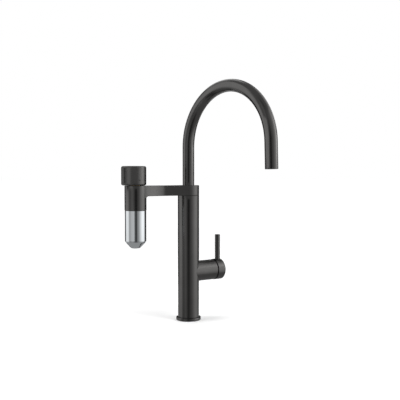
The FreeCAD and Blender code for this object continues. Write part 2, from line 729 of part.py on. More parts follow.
def spout_tailpiece():
    tail = joined([rod(TAIL_R, TAIL_LOW, SPOUT_LOW), rod(SPOUT_R, COLLAR_LOW, SPOUT_LOW),
                   rod(SPOUT_IN_R - FIT, SPOUT_LOW, TAIL_TOP)])
    bore_top = TAIL_LOW + TAIL_BORE_LENGTH
    tail = tail.cut(rod(TAIL_BORE_R, TAIL_LOW, bore_top))
    tail = tail.cut(rod(FILTERED_SOCKET_R, ARM_MID - GALLERY_HALF, TAIL_TOP))
    for step in range(BYPASS_COUNT):
        angle = 2 * math.pi * (step + 0.5) / BYPASS_COUNT
        x, y = BYPASS_PITCH_R * math.cos(angle), BYPASS_PITCH_R * math.sin(angle)
        tail = tail.cut(rod(BYPASS_R, bore_top, TAIL_TOP, x, y))
    half = O_RING / 2 + FIT
    for z in O_RING_ZS:
        tail = tail.cut(ring(SPOUT_R, O_RING_GROOVE_R, z - half, z + half))
    tail = tail.cut(ring(SPOUT_R, O_RING_GROOVE_R, ARM_MID - GALLERY_HALF, ARM_MID + GALLERY_HALF))
    tail = tail.cut(rod_x(CROSS_HOLE_R, -SPOUT_R, SPOUT_R, 0, ARM_MID))
    return turned_to_rest(tail).cut(stop_groove())


def stop_groove():
    """Part ring cut in the tailpiece; the stop pin meets its ends at the ends of the swing."""
    floor_r = TAIL_R - STOP_GROOVE
    lap = math.degrees(math.asin((STOP_PIN_R + FREE) / floor_r))
    start = STOP_PIN_ANGLE - (SWIVEL_HALF_ANGLE - SPOUT_REST_ANGLE) - lap
    half = STOP_PIN_R + FREE
    low, high = STOP_PIN_Z - half, STOP_PIN_Z + half
    corners = [Vec(floor_r, 0, low), Vec(SPOUT_R, 0, low), Vec(SPOUT_R, 0, high), Vec(floor_r, 0, high)]
    section = Part.Face(Part.makePolygon(corners + corners[:1]))
    groove = section.revolve(Vec(0, 0, 0), Vec(0, 0, 1), 2 * (SWIVEL_HALF_ANGLE + lap))
    groove.rotate(Vec(0, 0, 0), Vec(0, 0, 1), start)
    return groove


def spout_seals():
    rings = [o_ring(BUSH_IN_R - RUN / 4, O_RING - FIT, z) for z in O_RING_ZS]
    return Part.makeCompound(rings)


# Swan-neck spout

def leaning(shape):
    """Swing a piece of the leg, drawn upright, back along the bend so that the leg leans out a little."""
    swung = shape.copy()
    swung.rotate(Vec(SPOUT_BEND, 0, BEND_Z), Vec(0, 1, 0), -SPOUT_LEAN)
    return swung


def swan_neck(radius, low, leg):
    """Solid bent bar along the spout's centre line, from a height in the stem, with a leg drawn upright."""
    bend_circle = Part.Wire(Part.makeCircle(radius, Vec(0, 0, BEND_Z)))
    arch = Part.Face(bend_circle).revolve(Vec(SPOUT_BEND, 0, BEND_Z), Vec(0, 1, 0), 180 - SPOUT_LEAN)
    return joined([rod(radius, low, BEND_Z), arch, leaning(leg)])


def spout_tube():
    leg = rounded(rod(SPOUT_R, OUTLET_Z, BEND_Z, SPOUT_REACH), SPOUT_EDGE, is_rim(SPOUT_R, OUTLET_Z))
    bore = swan_neck(SPOUT_IN_R, SPOUT_LOW, rod(SPOUT_IN_R, OUTLET_Z, BEND_Z, SPOUT_REACH))
    return turned_to_rest(swan_neck(SPOUT_R, SPOUT_LOW, leg).cut(bore))


def filtered_tube():
    tubes = []
    for radius in (FILTERED_R, FILTERED_R - PIPE_WALL):
        leg = rod(radius, AERATOR_TOP - AERATOR_DECK, BEND_Z, SPOUT_REACH)
        tubes.append(swan_neck(radius, FILTERED_LOW, leg))
    return turned_to_rest(tubes[0].cut(tubes[1]))


def aerator_housing():
    x = SPOUT_REACH
    deck = AERATOR_TOP - AERATOR_DECK
    body = joined([ring(AERATOR_R, AERATOR_IN_R, AERATOR_LOW, AERATOR_TOP, x),
                   rod(AERATOR_R, deck, AERATOR_TOP, x),
                   rod(NOZZLE_TUBE_R, AERATOR_LOW, AERATOR_TOP, x)])
    body = body.cut(rod(FILTERED_SOCKET_R, deck, AERATOR_TOP, x))
    body = body.cut(rod(FILTERED_R - PIPE_WALL, AERATOR_LOW, deck, x))
    pitch = (AERATOR_IN_R + NOZZLE_TUBE_R) / 2
    for step in range(2 * BYPASS_COUNT):
        angle = math.pi * step / BYPASS_COUNT
        hole = rod(BYPASS_R / 2, deck, AERATOR_TOP, x + pitch * math.cos(angle), pitch * math.sin(angle))
        body = body.cut(hole)
    return turned_to_rest(leaning(body))


def aerator_screen():
    x = SPOUT_REACH
    low, high = AERATOR_LOW + FREE, AERATOR_LOW + FREE + SCREEN_THICK
    plate = ring(AERATOR_IN_R - FIT, NOZZLE_TUBE_R + FIT, low, high, x)
    width = AERATOR_IN_R - NOZZLE_TUBE_R
    holes = []
    for row in range(SCREEN_RINGS):
        pitch = NOZZLE_TUBE_R + width * (row + 0.5) / SCREEN_RINGS
        count = SCREEN_FIRST_COUNT + SCREEN_ADDED_COUNT * row
        for step in range(count):
            angle = 2 * math.pi * step / count
            holes.append(rod(SCREEN_HOLE_R, low, high, x + pitch * math.cos(angle), pitch * math.sin(angle)))
    return turned_to_rest(leaning(plate.cut(Part.makeCompound(holes))))


def aerator_seal():
    seal = ring(AERATOR_R, AERATOR_IN_R, AERATOR_TOP, AERATOR_TOP + AERATOR_SEAL, SPOUT_REACH)
    return turned_to_rest(leaning(seal))


# Filter valve headwork

def headwork_seal():
    return ring(HEADWORK_R, CHAMBER_R - HEADWORK_WALL, POCKET_FLOOR, HEADWORK_LOW, FILTER_X)


def headwork_body():
    body = rod(HEADWORK_R, HEADWORK_LOW, HUB_TOP + HEADWORK_PROUD, FILTER_X)
    body = body.cut(rod(CHAMBER_R, HEADWORK_LOW, CHAMBER_TOP, FILTER_X))
    body = body.cut(rod(SPINDLE_R + RUN, CHAMBER_TOP, HUB_TOP + HEADWORK_PROUD, FILTER_X))
    return body.cut(rod_y(CHANNEL_R / 2, -HEADWORK_OD, HEADWORK_OD, FILTER_X, DISC_MEET + HEADWORK_DISC / 2))


def headwork_fixed_disc():
    disc = rod(CHAMBER_R - FIT, HEADWORK_LOW, DISC_MEET, FILTER_X)
    pitch = CHAMBER_R / 2
    for side in (1, -1):
        disc = disc.cut(rod(CHANNEL_R, HEADWORK_LOW, DISC_MEET, FILTER_X + side * pitch))
    return disc


def headwork_moving_disc():
    disc = rod(CHAMBER_R - FREE, DISC_MEET, SPINDLE_LOW, FILTER_X)
    pitch = CHAMBER_R / 2
    for side in (1, -1):
        disc = disc.cut(rod(CHANNEL_R, DISC_MEET, SPINDLE_LOW, FILTER_X, side * pitch))
    return disc


def headwork_spindle():
    spindle = joined([rod(CHAMBER_R - FREE, SPINDLE_LOW, SPINDLE_LOW + SPINDLE_FLANGE, FILTER_X),
                      rod(SPINDLE_R, SPINDLE_LOW, SPINDLE_END, FILTER_X)])
    return spindle.cut(rod(KNOB_SCREW_R + FIT, SCREW_SEAT - KNOB_SCREW_LENGTH - FREE, SPINDLE_END, FILTER_X))


# Filter knob

def knob_shell():
    shell = rod(KNOB_R, KNOB_LOW, KNOB_END, KNOB_X)
    shell = rounded(shell, KNOB_TOP_EDGE, is_rim(KNOB_R, KNOB_END))
    shell = rounded(shell, min(KNOB_LOW_EDGE, KNOB_WALL - FIT), is_rim(KNOB_R, KNOB_LOW))
    shell = shell.cut(rod(KNOB_IN_R, KNOB_LOW, KNOB_END - KNOB_TOP, KNOB_X))
    return shell.cut(rod_y(LENS_R + FIT, -KNOB_OD, 0, KNOB_X, LENS_Z))


def knob_base():
    plate = rod(KNOB_IN_R - FIT, KNOB_LOW, KNOB_FLOOR, KNOB_X)
    return plate.cut(rod(SPINDLE_R + FIT, KNOB_LOW, KNOB_FLOOR, FILTER_X))


def light_guide_y():
    """Where the light guide turns up inside the knob."""
    return -(KNOB_IN_R - LENS_REACH)


def knob_insert():
    insert = joined([rod(INSERT_OD / 2, KNOB_FLOOR, INSERT_TOP, FILTER_X),
                     rod(KNOB_IN_R - FIT, DECK_LOW, INSERT_TOP, KNOB_X)])
    insert = insert.cut(rod(SPINDLE_R + FIT, KNOB_FLOOR, SPINDLE_END + FREE, FILTER_X))
    insert = insert.cut(rod(KNOB_SCREW_R + FIT, SPINDLE_END, INSERT_TOP, FILTER_X))
    insert = insert.cut(rod(KNOB_SCREW_HEAD_R + FIT, SCREW_SEAT, INSERT_TOP, FILTER_X))
    return insert.cut(rod(LENS_R + FIT, DECK_LOW, INSERT_TOP, KNOB_X, light_guide_y()))


def knob_screw():
    screw = joined([rod(KNOB_SCREW_R, SCREW_SEAT - KNOB_SCREW_LENGTH, INSERT_TOP, FILTER_X),
                    rod(KNOB_SCREW_HEAD_R, SCREW_SEAT, INSERT_TOP, FILTER_X)])
    slot = (INSERT_TOP - KNOB_SCREW_HEAD / 2, INSERT_TOP)
    reach, half = KNOB_SCREW_HEAD_R / 2, KNOB_SCREW_R / 4
    for long, short in ((reach, half), (half, reach)):
        screw = screw.cut(block((FILTER_X - long, FILTER_X + long), (-short, short), slot))
    return screw


def indicator_lens():
    """Light guide: a lens flush with the knob's front, a corner and a stem up to the board."""
    y = light_guide_y()
    front = rod_y(LENS_R, -KNOB_OD, y, KNOB_X, LENS_Z).common(rod(KNOB_R, KNOB_LOW, KNOB_END, KNOB_X))
    corner = Part.makeSphere(LENS_R, Vec(KNOB_X, y, LENS_Z))
    return joined([front, corner, rod(LENS_R, LENS_Z, INSERT_TOP, KNOB_X, y)])


def indicator_board():
    return rod(BOARD_OD / 2, INSERT_TOP, INSERT_TOP + BOARD_THICK, KNOB_X)


def coin_cell():
    low = INSERT_TOP + BOARD_THICK
    cell = rod(CELL_OD / 2, low, low + CELL_THICK, KNOB_X)
    return bevelled(cell, CELL_THICK / 8, is_rim(CELL_OD / 2, low))


# Filter capsule

def cup_form(inset, low, high):
    """Round solid with the cup's flat bottom and cone, drawn in by a wall thickness."""
    slope = math.atan2(CUP_CONE, CUP_R - CUP_FLAT_R)
    flat_r = CUP_FLAT_R - inset * math.tan(slope / 2)
    wall_r = CUP_R - inset
    cone_top = CUP_LOW + CUP_CONE + inset * math.tan((math.pi / 2 - slope) / 2)
    profile = ((0, low), (flat_r, low), (wall_r, cone_top), (wall_r, high), (0, high))
    points = [Vec(radius, 0, z) for radius, z in profile]
    solid = Part.Face(Part.makePolygon(points + points[:1])).revolve(Vec(0, 0, 0), Vec(0, 0, 1), 360)
    solid = rounded(solid, max(CUP_ROUND - inset, CUP_ROUND / 4), is_rim(flat_r, low))
    solid = rounded(solid, CUP_SHOULDER - inset, is_rim(wall_r, cone_top))
    return solid.translated(Vec(FILTER_X, 0, 0))


def capsule_cup():
    return cup_form(0.0, CUP_LOW, CUP_RIM).cut(cup_form(CUP_WALL, CUP_FLOOR, CUP_RIM))


def capsule_collar():
    collar = joined([rod(CUP_IN_R - FIT, CUP_RIM - COLLAR_SEAT, CUP_RIM, FILTER_X),
                     rod(THREAD_R, CUP_RIM, COLLAR_TOP, FILTER_X)])
    return collar.cut(rod(COLLAR_IN_R, CUP_RIM - COLLAR_SEAT, COLLAR_TOP, FILTER_X))


def capsule_seal():
    return ring(THREAD_R, COLLAR_IN_R, COLLAR_TOP, COLLAR_TOP + CAPSULE_SEAL, FILTER_X)


def filter_top_cap():
    cap = joined([rod(INSERT_CAP_R, CARBON_TOP, INSERT_CAP_TOP, FILTER_X),
                  rod(NOZZLE_R, INSERT_CAP_TOP, NOZZLE_TOP, FILTER_X)])
    cap = cap.cut(rod(NOZZLE_BORE_R, CARBON_TOP, NOZZLE_TOP, FILTER_X))
    half = O_RING / 2 + FIT
    groove = ring(INSERT_CAP_R, NOZZLE_R - O_RING, NOZZLE_SEAL_Z - half, NOZZLE_SEAL_Z + half, FILTER_X)
    return cap.cut(groove)


def nozzle_seal():
    return o_ring(NOZZLE_SOCKET_R - RUN / 2, O_RING, NOZZLE_SEAL_Z, FILTER_X)


def carbon_block():
    return ring(CARBON_R, CARBON_BORE_R, CARBON_LOW, CARBON_TOP, FILTER_X)


def fleece_wrap():
    return ring(CARBON_R + FIT + FLEECE, CARBON_R + FIT, CARBON_LOW, CARBON_TOP, FILTER_X)


def filter_bottom_cap():
    return joined([rod(INSERT_CAP_R, SOLE_LOW, CARBON_LOW, FILTER_X),
                   rod(INSERT_FOOT_R, CUP_FLOOR, CARBON_LOW, FILTER_X)])


PIECES = {
    "base_flange": base_flange, "deck_seal": deck_seal, "inlet_block": inlet_block,
    "hot_pipe": lambda: feed_pipe(1), "cold_pipe": lambda: feed_pipe(-1),
    "column_tube": column_tube, "barrel_sleeve": barrel_sleeve, "valve_body": valve_body,
    "mixed_riser": mixed_riser, "filter_feed_pipe": filter_feed_pipe,
    "cartridge_holder": cartridge_holder, "cartridge_base": cartridge_base, "port_seals": port_seals,
    "fixed_disc": fixed_disc, "cartridge_housing": cartridge_housing, "cartridge_nut": cartridge_nut,
    "spindle_guide": spindle_guide, "cross_pin": cross_pin,
    "moving_disc": moving_disc, "disc_carrier": disc_carrier,
    "lever_stem": lever_stem, "handle_cap": handle_cap, "lever_rod": lever_rod,
    "handle_ring": handle_ring, "handle_screw": handle_screw,
    "filter_arm": filter_arm, "arm_lock_screw": arm_lock_screw,
    "lower_bush": lower_bush, "upper_bush": upper_bush, "swivel_stop_pin": swivel_stop_pin,
    "spout_tailpiece": spout_tailpiece, "spout_seals": spout_seals, "spout_tube": spout_tube,
    "filtered_tube": filtered_tube, "aerator_housing": aerator_housing,
    "aerator_screen": aerator_screen, "aerator_seal": aerator_seal,
    "headwork_seal": headwork_seal, "headwork_body": headwork_body,
    "headwork_fixed_disc": headwork_fixed_disc, "headwork_moving_disc": headwork_moving_disc,
    "headwork_spindle": headwork_spindle,
    "knob_shell": knob_shell, "knob_base": knob_base, "knob_insert": knob_insert,
    "knob_screw": knob_screw, "indicator_lens": indicator_lens,
    "indicator_board": indicator_board, "coin_cell": coin_cell,
    "capsule_cup": capsule_cup, "capsule_collar": capsule_collar, "capsule_seal": capsule_seal,
    "filter_top_cap": filter_top_cap, "nozzle_seal": nozzle_seal, "carbon_block": carbon_block,
    "fleece_wrap": fleece_wrap, "filter_bottom_cap": filter_bottom_cap,
}


def main():
    os.makedirs("parts", exist_ok=True)
    for name, make in PIECES.items():
        make().exportStep("parts/" + name + ".step")


main()
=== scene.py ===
"""Finishes, capsule thread and studio for a filtered water kitchen tap."""
import bpy
import math
from bpy.props import FloatProperty, FloatVectorProperty, IntProperty, PointerProperty
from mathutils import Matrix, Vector


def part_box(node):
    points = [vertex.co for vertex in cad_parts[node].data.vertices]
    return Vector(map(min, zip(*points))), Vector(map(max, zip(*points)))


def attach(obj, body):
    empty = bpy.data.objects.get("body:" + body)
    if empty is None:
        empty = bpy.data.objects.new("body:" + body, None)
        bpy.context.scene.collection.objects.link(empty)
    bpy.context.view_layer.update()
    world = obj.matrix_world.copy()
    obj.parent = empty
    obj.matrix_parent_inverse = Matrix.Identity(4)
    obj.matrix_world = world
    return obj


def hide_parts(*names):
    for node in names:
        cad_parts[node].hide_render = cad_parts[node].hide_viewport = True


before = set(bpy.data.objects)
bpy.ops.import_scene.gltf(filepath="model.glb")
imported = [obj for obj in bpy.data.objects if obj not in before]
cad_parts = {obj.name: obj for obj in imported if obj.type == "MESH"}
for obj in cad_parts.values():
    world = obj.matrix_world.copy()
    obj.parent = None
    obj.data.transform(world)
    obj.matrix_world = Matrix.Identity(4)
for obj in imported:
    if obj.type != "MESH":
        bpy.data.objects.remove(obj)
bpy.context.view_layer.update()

bl_info = {
    "name": "Filtered Water Tap",
    "version": (1, 0, 0),
    "blender": (4, 5, 0),
    "location": "View3D > Sidebar > Tap",
    "description": "Finishes, capsule thread and studio for a filtered water kitchen tap",
    "category": "Object",
}

# The photographed side: degrees from +X, anticlockwise, of the line from the column to the camera
VIEW_SIDE = -125.0
# Width of the camera's sensor in millimetres
SENSOR_WIDTH = 36.0
WHITE = (1, 1, 1, 1)

# The studio's round wall: its size in metres, its number of flats, how much of its glow is left at
# its foot, and how bright it is at each place, in degrees to the right of the camera
STUDIO_RADIUS = 2.6
STUDIO_HEIGHT = 4.6
STUDIO_FOOT = -1.4
STUDIO_SIDES = 96
WALL_FOOT_GLOW = 0.4
STUDIO_WALL = (
    (-180, 0.0), (-130, 0.0), (-113, 0.75), (-78, 0.85), (-66, 0.34), (-50, 0.27), (-32, 0.46),
    (45, 0.46), (58, 0.66), (78, 1.0), (104, 1.0), (128, 0.0), (180, 0.0),
)

# The soft dark flag between the tap and the camera: its distance, how much it thins out at each
# height, and how much it lets through at each place to the right of the camera's line
FLAG_REACH = 0.7
FLAG_THINNING = ((-0.6, 0.2), (-0.12, 0.2), (0.12, 0.0), (0.45, 0.0), (0.7, 0.5), (1.6, 0.5))
FLAG_SHADE = (
    (-0.7, 1.0), (-0.437, 1.0), (-0.209, 0.62), (-0.085, 0.15), (0.12, 0.08), (0.17, 0.38),
    (0.312, 0.52), (0.533, 0.8), (0.7, 1.0),
)

# Glowing cards: the piece that a card faces, from how many degrees to the right of the camera and
# at what distance, the card's left and right edges, its foot and top, and how bright it is
GLOW_CARDS = (
    ("column_tube", 180, 1.0, (-0.12, 0.6), (0.58, 3.1), 1.0),
    ("column_tube", 180, 2.34, (-1.3, 1.3), (0.66, 3.0), 0.15),
    ("column_tube", -140, 1.2, (-0.34, 0.34), (1.1, 2.0), 0.55),
    ("column_tube", 120, 1.0, (-0.5, 0.5), (0.56, 1.2), 0.9),
    ("column_tube", 130, 0.5, (-0.5, 0.08), (0.8, 1.35), 0.7),
    ("column_tube", 97, 2.3, (-0.65, 0.65), (0.41, 1.8), 2.0),
    ("column_tube", 180, 2.34, (-1.3, 1.3), (-1.3, -0.25), 0.6),
    ("column_tube", -138, 2.34, (-0.6, 0.6), (-1.0, -0.32), 0.6),
    ("column_tube", 138, 2.34, (-0.6, 0.6), (-1.0, -0.32), 0.6),
    ("column_tube", 35, 0.028, (-0.051, -0.01), (0.24, 0.272), 0.23),
    ("capsule_cup", -36, 0.12, (-0.069, -0.005), (0.146, 0.216), 0.37),
    ("capsule_cup", -36, 0.12, (-0.005, 0.069), (0.146, 0.216), 0.465),
    ("knob_shell", -78, 0.09, (-0.02, 0.02), (0.258, 0.325), 0.12),
    ("knob_shell", -33, 0.06, (-0.015, 0.015), (0.262, 0.318), 0.6),
    ("knob_shell", 12, 0.062, (-0.04, 0.04), (0.262, 0.318), 0.28),
    ("aerator_housing", -58, 0.04, (-0.0115, 0.0115), (0.3, 0.395), 0.75),
)

# Lamps: name, the setting with its power, degrees to the right of the camera, distance from the
# column's axis, height and size. They all point at one place on that axis.
LAMPS = (
    ("key_lamp", "key_power", 60, 1.6, 1.3, 1.2),
    ("fill_lamp", "fill_power", -75, 1.7, 1.1, 1.0),
    ("top_lamp", "fill_power", 180, 0.5, 1.9, 1.4),
)
LAMP_AIM = Vector((0, 0, 0.2))

# The floor: its size, the size and depth of the clouds in its colour, and how much it glows where
# it is seen. Near the tap it glows little and keeps the shadow. Further off, where the lamps don't
# reach, it glows more.
FLOOR_SIZE = 80.0
FLOOR_CLOUD, FLOOR_CLOUDING = 0.8, 0.01
FLOOR_NEAR, FLOOR_NEAR_GLOW = 0.3, 0.2
FLOOR_FAR, FLOOR_FAR_GLOW = 2.8, 0.74

# Patterns: their fine detail, where their two ends lie on a scale of 0 to 1, and how far a fine grain
# takes the roughness to each side of its mean
PATTERN_DETAIL = 3.0
PATTERN_LOW, PATTERN_HIGH = 0.3, 0.7
SHEEN_SPREAD = 0.15

# Grain of metal: its size and height in metres, the size of the clouds in its colour, how far it is
# drawn out one way, a grain that runs no way, and the axes that pieces are turned about
METAL_GRAIN, METAL_RELIEF, METAL_CLOUD = 0.0004, 0.00001, 0.03
GRAIN_STRETCH = 0.03
EVEN = (1.0, 1.0, 1.0)
SIDEWAYS, UPRIGHT = 0, 2

# Moulded pieces: the size and depth of the clouds in their colour
MOULDED_CLOUD, MOULDED_CLOUDING = 0.012, 0.08

# Pressed grains: how far their colour and sheen vary, and how strongly they stand out
PRESSED_CONTRAST, PRESSED_SHEEN, PRESSED_STRENGTH = 0.5, 0.1, 0.6

# Sheens and colours that aren't settings
BRASS_ROUGHNESS = 0.24
SCREW_STEEL = (0.56, 0.56, 0.57)
PLATED_STEEL = (0.78, 0.77, 0.75)
CERAMIC = (0.83, 0.83, 0.80)
CARBON = (0.03, 0.03, 0.03)
FLEECE = (0.55, 0.55, 0.54)
SMOKED_LENS = (0.012, 0.012, 0.013)
BOARD_LACQUER = (0.02, 0.11, 0.05)
# How bright the handle's ring is compared with the other dark plastic. This extra darkness is painted
# shade: it makes the gap between barrel and cap read as a shadow line.
RING_PAINTED_SHADE = 0.3

# Thread: how much of the ridge's height is sunk into the core and how much is left at its ends, the
# slope of its flanks, the angle up to which edges are shaded smooth, the distance at which points
# become one, and how near a point of the ridge's ends lies to their plane
SUNK_SHARE, END_SHARE = 0.5, 0.25
FLANK_ANGLE = math.radians(30)
SMOOTH_ANGLE = math.radians(30)
MERGE_DISTANCE = 1e-6
PLANE_DISTANCE = 1e-5


def tone(colour, share):
    """A colour made darker or lighter."""
    return [min(1.0, part * share) for part in colour] + [1.0]


def new_finish(name, metallic=0.0, **sockets):
    """An empty finish: its material, node tree and shader, with the plain values set on the shader."""
    material = bpy.data.materials.new(name)
    material.use_nodes = True
    shader = material.node_tree.nodes["Principled BSDF"]
    shader.inputs["Metallic"].default_value = metallic
    for label, value in sockets.items():
        shader.inputs[label.replace("_", " ").title().replace("Ior", "IOR")].default_value = value
    return material, material.node_tree, shader


def pattern(tree, kind, size, stretch=EVEN):
    """A procedural pattern on the piece's own coordinates, with features of about a size in metres."""
    place = tree.nodes.new("ShaderNodeTexCoord")
    turn = tree.nodes.new("ShaderNodeMapping")
    turn.inputs["Scale"].default_value = stretch
    texture = tree.nodes.new(kind)
    texture.inputs["Scale"].default_value = 1.0 / size
    if "Detail" in texture.inputs:
        texture.inputs["Detail"].default_value = PATTERN_DETAIL
    tree.links.new(place.outputs["Object"], turn.inputs["Vector"])
    tree.links.new(turn.outputs["Vector"], texture.inputs["Vector"])
    return texture.outputs["Distance" if kind == "ShaderNodeTexVoronoi" else 0]


def map_range(tree, source, start, end, low, high):
    """Carry a value from one range into another and keep it between the ends."""
    spread = tree.nodes.new("ShaderNodeMapRange")
    labels = ("From Min", "From Max", "To Min", "To Max")
    for label, value in zip(labels, (start, end, low, high)):
        spread.inputs[label].default_value = value
    tree.links.new(source, spread.inputs["Value"])
    return spread.outputs["Result"]


def colour_from(tree, shader, source, low, high):
    """Let a pattern carry the colour from one tone to another."""
    ramp = tree.nodes.new("ShaderNodeValToRGB")
    first, last = ramp.color_ramp.elements
    first.position, first.color = PATTERN_LOW, low
    last.position, last.color = PATTERN_HIGH, high
    tree.links.new(source, ramp.inputs["Fac"])
    tree.links.new(ramp.outputs["Color"], shader.inputs["Base Color"])


def roughness_from(tree, shader, source, low, high):
    """Let a pattern carry the roughness between two values."""
    spread = map_range(tree, source, PATTERN_LOW, PATTERN_HIGH, low, high)
    tree.links.new(spread, shader.inputs["Roughness"])


def relief_from(tree, shader, source, height, strength):
    """Let a pattern raise the surface by a height in metres."""
    bump = tree.nodes.new("ShaderNodeBump")
    bump.inputs["Strength"].default_value = strength
    bump.inputs["Distance"].default_value = height
    tree.links.new(source, bump.inputs["Height"])
    tree.links.new(bump.outputs["Normal"], shader.inputs["Normal"])


def grey_ramp(tree, levels):
    """A ramp through grey levels, with their places spread over its whole length."""
    ramp = tree.nodes.new("ShaderNodeValToRGB")
    stops = ramp.color_ramp.elements
    first, last = levels[0][0], levels[-1][0]
    for index, (place, level) in enumerate(levels):
        position = (place - first) / (last - first)
        stop = stops[index] if index < 2 else stops.new(position)
        stop.position, stop.color = position, (level, level, level, 1)
    return ramp


def grained(tree, shader, colour, roughness, fine, cloud, clouding):
    """Let a fine grain set the sheen, and wide clouds the colour."""
    colour_from(tree, shader, cloud, tone(colour, 1 - clouding), tone(colour, 1 + clouding))
    roughness_from(tree, shader, fine, roughness * (1 - SHEEN_SPREAD), roughness * (1 + SHEEN_SPREAD))


def metal_finish(name, colour, roughness, stretch, strength=0.12, clouding=0.06):
    """Metal with a fine grain that sets its sheen and a faint clouding of its colour."""
    material, tree, shader = new_finish(name, metallic=1.0)
    fine = pattern(tree, "ShaderNodeTexNoise", METAL_GRAIN, stretch)
    cloud = pattern(tree, "ShaderNodeTexNoise", METAL_CLOUD)
    grained(tree, shader, colour, roughness, fine, cloud, clouding)
    relief_from(tree, shader, fine, METAL_RELIEF, strength)
    return material


def moulded_finish(name, colour, roughness, grain=0.0006, height=0.00002, strength=0.2, **sockets):
    """Moulded plastic, rubber or fired ceramic with a fine surface grain."""
    material, tree, shader = new_finish(name, **sockets)
    fine = pattern(tree, "ShaderNodeTexNoise", grain)
    cloud = pattern(tree, "ShaderNodeTexNoise", MOULDED_CLOUD)
    grained(tree, shader, colour, roughness, fine, cloud, MOULDED_CLOUDING)
    relief_from(tree, shader, fine, height, strength)
    return material


def granular_finish(name, colour, roughness, grain, height):
    """Pressed grains, as in a carbon block."""
    material, tree, shader = new_finish(name)
    cells = pattern(tree, "ShaderNodeTexVoronoi", grain)
    light, dark = tone(colour, 1 + PRESSED_CONTRAST), tone(colour, 1 - PRESSED_CONTRAST)
    colour_from(tree, shader, cells, light, dark)
    roughness_from(tree, shader, cells, roughness * (1 - PRESSED_SHEEN), roughness)
    relief_from(tree, shader, cells, -height, PRESSED_STRENGTH)
    return material


def dress(material, *names):
    """Put a finish on CAD nodes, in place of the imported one."""
    for name in names:
        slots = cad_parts[name].data.materials
        slots.clear()
        slots.append(material)


def turned(axis):
    """Grain of a piece turned about an axis: close along the axis, long round it."""
    return tuple(1.0 if place == axis else GRAIN_STRETCH for place in range(3))


def drawn_out(axis):
    """Grain of a piece drawn along an axis: long along the axis, close across it."""
    return tuple(GRAIN_STRETCH if place == axis else 1.0 for place in range(3))


def clear_selection():
    """Leave edit mode and let nothing be selected before a new piece is begun."""
    if bpy.context.object and bpy.context.object.mode != "OBJECT":
        bpy.ops.object.mode_set(mode="OBJECT")
    bpy.ops.object.select_all(action="DESELECT")


def edit_verts(obj, test):
    """Select in edit mode the points of a mesh that pass a test on their place."""
    bpy.ops.object.mode_set(mode="EDIT")
    bpy.ops.mesh.select_mode(type="VERT")
    bpy.ops.mesh.select_all(action="DESELECT")
    bpy.ops.object.mode_set(mode="OBJECT")
    for vert in obj.data.vertices:
        vert.select = test(vert.co)
    bpy.ops.object.mode_set(mode="EDIT")


class TapFinishes(bpy.types.PropertyGroup):
    """Colours and sheens a user would change"""
    coating: FloatVectorProperty(
        name="Coating", description="Colour of the dark coated metal", subtype="COLOR", size=3,
        min=0.0, max=1.0, default=(0.150, 0.147, 0.144))
    coating_roughness: FloatProperty(
        name="Coating Roughness", description="How satin the coated metal is", subtype="FACTOR",
        min=0.02, max=1.0, default=0.2)
    knob_roughness: FloatProperty(
        name="Knob Roughness", description="How matt the filter knob is", subtype="FACTOR",
        min=0.02, max=1.0, default=0.3)
    steel: FloatVectorProperty(
        name="Capsule Steel", description="Colour of the drawn steel capsule", subtype="COLOR", size=3,
        min=0.0, max=1.0, default=(0.88, 0.915, 0.94))
    steel_roughness: FloatProperty(
        name="Steel Roughness", description="How satin the capsule is", subtype="FACTOR",
        min=0.02, max=1.0, default=0.06)
    brass: FloatVectorProperty(
        name="Brass", description="Colour of the machined brass inside", subtype="COLOR", size=3,
        min=0.0, max=1.0, default=(0.78, 0.57, 0.26))
    copper: FloatVectorProperty(
        name="Copper", description="Colour of the pipes inside the column", subtype="COLOR", size=3,
        min=0.0, max=1.0, default=(0.80, 0.46, 0.32))
    dark_plastic: FloatVectorProperty(
        name="Dark Plastic", description="Colour of the dark moulded pieces", subtype="COLOR", size=3,
        min=0.0, max=1.0, default=(0.022, 0.022, 0.024))
    pale_plastic: FloatVectorProperty(
        name="Pale Plastic", description="Colour of the pale moulded pieces", subtype="COLOR", size=3,
        min=0.0, max=1.0, default=(0.74, 0.74, 0.71))
    rubber: FloatVectorProperty(
        name="Rubber", description="Colour of the seals", subtype="COLOR", size=3,
        min=0.0, max=1.0, default=(0.018, 0.018, 0.018))


class TapThread(bpy.types.PropertyGroup):
    """Sizes of the screw thread on the capsule's collar"""
    lead: FloatProperty(
        name="Lead", description="How far the capsule moves in one turn", unit="LENGTH",
        min=0.001, max=0.01, default=0.004)
    depth: FloatProperty(
        name="Depth", description="Height of the thread's ridge", unit="LENGTH",
        min=0.0002, max=0.0015, default=0.0008)
    crest: FloatProperty(
        name="Crest", description="Width of the ridge at its crest", unit="LENGTH",
        min=0.0003, max=0.003, default=0.0011)
    turns: IntProperty(name="Turns", description="Turns of the ridge", min=1, max=6, default=3)
    sides: IntProperty(
        name="Sides", description="Flats that make up one turn of the collar",
        min=24, max=192, default=96)


